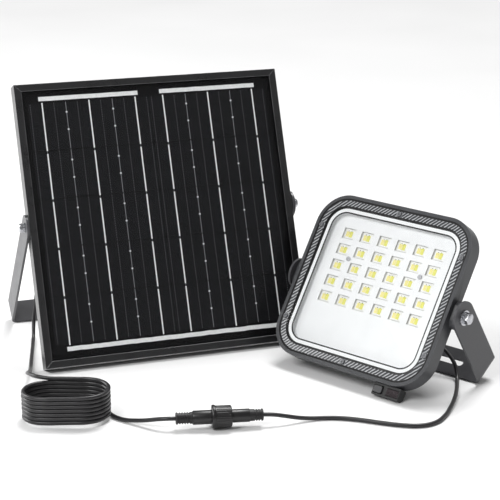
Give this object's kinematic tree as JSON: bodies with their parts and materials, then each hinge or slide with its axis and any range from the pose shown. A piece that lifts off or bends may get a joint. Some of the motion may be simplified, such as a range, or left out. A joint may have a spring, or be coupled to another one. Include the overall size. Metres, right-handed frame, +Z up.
{
  "type": "solar flood light",
  "caption": "Framed solar panel on a tilting stand, joined by a coiled lead and a two-pin connector to a flood lamp on a tilting bracket.",
  "frame": {"origin": "on the floor, under the middle of the box round the panel and the lamp without their cord", "axes": "+X to the lamp's side, +Y from the front of the light to the back, +Z up"},
  "size_m": [0.6326, 0.5099, 0.3403],
  "materials": {
    "panel_frame": "satin black anodised",
    "bare_aluminium": "mill finish",
    "seal_rubber": "matt black",
    "panel_glass": "clear, low reflection",
    "silicon_cell": "dark crystalline silicon",
    "tinned_ribbon": "bright tinned copper",
    "back_sheet_black": "black polymer sheet",
    "black_plastic": "fine moulded grain",
    "circuit_board": "green solder resist",
    "zinc_steel": "bright zinc plate",
    "dark_steel": "blackened steel",
    "bracket_paint": "satin grey powder coat",
    "cord_jacket": "satin grey-black jacket",
    "connector_rubber": "matt black",
    "connector_plastic": "satin black nylon",
    "contact_brass": "bright",
    "lamp_grey": "dark grey moulded, fine grain",
    "clear_cover": "clear with moulded prisms round its edge",
    "white_plastic": "white",
    "board_white": "white solder resist",
    "led_phosphor": "yellow phosphor in a white package",
    "cell_wrap": "shrink sleeve",
    "ir_red": "dark red infra-red window",
    "button_grey": "grey"
  },
  "bodies": {
    "panel": {"frame_left": "panel_frame", "frame_right": "panel_frame", "frame_top": "panel_frame", "frame_bottom": "panel_frame", "corner_keys": "bare_aluminium", "edge_seal": "seal_rubber", "panel_glass": "panel_glass", "solar_cells": "silicon_cell", "cell_ribbons": "tinned_ribbon", "bus_bars": "tinned_ribbon", "back_sheet": "back_sheet_black", "junction_box": "black_plastic", "junction_lid": "black_plastic", "lid_gasket": "seal_rubber", "terminal_board": "circuit_board", "junction_screws": "zinc_steel", "junction_gland": "black_plastic", "panel_rivet_nuts": "zinc_steel", "panel_pivot_bolts": "zinc_steel", "panel_spring_washers": "zinc_steel", "panel_flat_washers": "zinc_steel", "panel_lead": "cord_jacket", "cable_coil": "cord_jacket", "lead_run": "cord_jacket", "socket_relief": "connector_rubber", "socket_body": "connector_plastic", "contact_sockets": "contact_brass", "o_ring": "seal_rubber"},
    "panel_stand": {"panel_stand": "bracket_paint"},
    "coupling_nut": {"coupling_nut": "connector_plastic"},
    "lamp": {"plug_body": "connector_plastic", "contact_pins": "contact_brass", "plug_relief": "connector_rubber", "lamp_lead": "cord_jacket", "lamp_housing": "lamp_grey", "rear_cover": "lamp_grey", "rear_gasket": "seal_rubber", "rear_screws": "zinc_steel", "vent_plug": "black_plastic", "cover_gasket": "seal_rubber", "clear_cover": "clear_cover", "light_mask": "white_plastic", "cover_screws": "dark_steel", "reflector": "white_plastic", "led_board": "board_white", "leds": "led_phosphor", "board_screws": "zinc_steel", "battery_holder": "black_plastic", "battery_cells": "cell_wrap", "controller_board": "circuit_board", "control_box": "black_plastic", "ir_window": "ir_red", "button_switch": "black_plastic", "lamp_gland": "black_plastic", "gland_nut": "black_plastic", "lamp_pivot_bolts": "zinc_steel", "lamp_spring_washers": "zinc_steel", "lamp_flat_washers": "zinc_steel"},
    "lamp_bracket": {"lamp_bracket": "bracket_paint"},
    "power_button": {"power_button": "button_grey"}
  },
  "joints": [
    {"name": "stand_tilt", "type": "hinge", "parent": "panel", "child": "panel_stand", "pos_m": [-0.09988, 0.0164, 0.16928], "axis": [0.9455, 0.3256, 0], "range_deg": [-25, 115]},
    {"name": "nut_spin", "type": "hinge", "parent": "panel", "child": "coupling_nut", "pos_m": [-0.0708, -0.28692, 0.014], "axis": [0.993, 0.1184, 0], "continuous": true},
    {"name": "unplug_slide", "type": "slide", "parent": "panel", "child": "lamp", "axis": [0.993, 0.1184, 0], "range_m": [0, 0.03]},
    {"name": "bracket_tilt", "type": "hinge", "parent": "lamp", "child": "lamp_bracket", "pos_m": [0.17275, -0.09242, 0.0976], "axis": [0.7431, -0.6691, 0], "range_deg": [-1, 80]},
    {"name": "button_press", "type": "slide", "parent": "lamp", "child": "power_button", "axis": [0.5593, 0.6211, -0.549], "range_m": [0, 0.0015], "stiffness_N_per_m": 400}
  ]
}
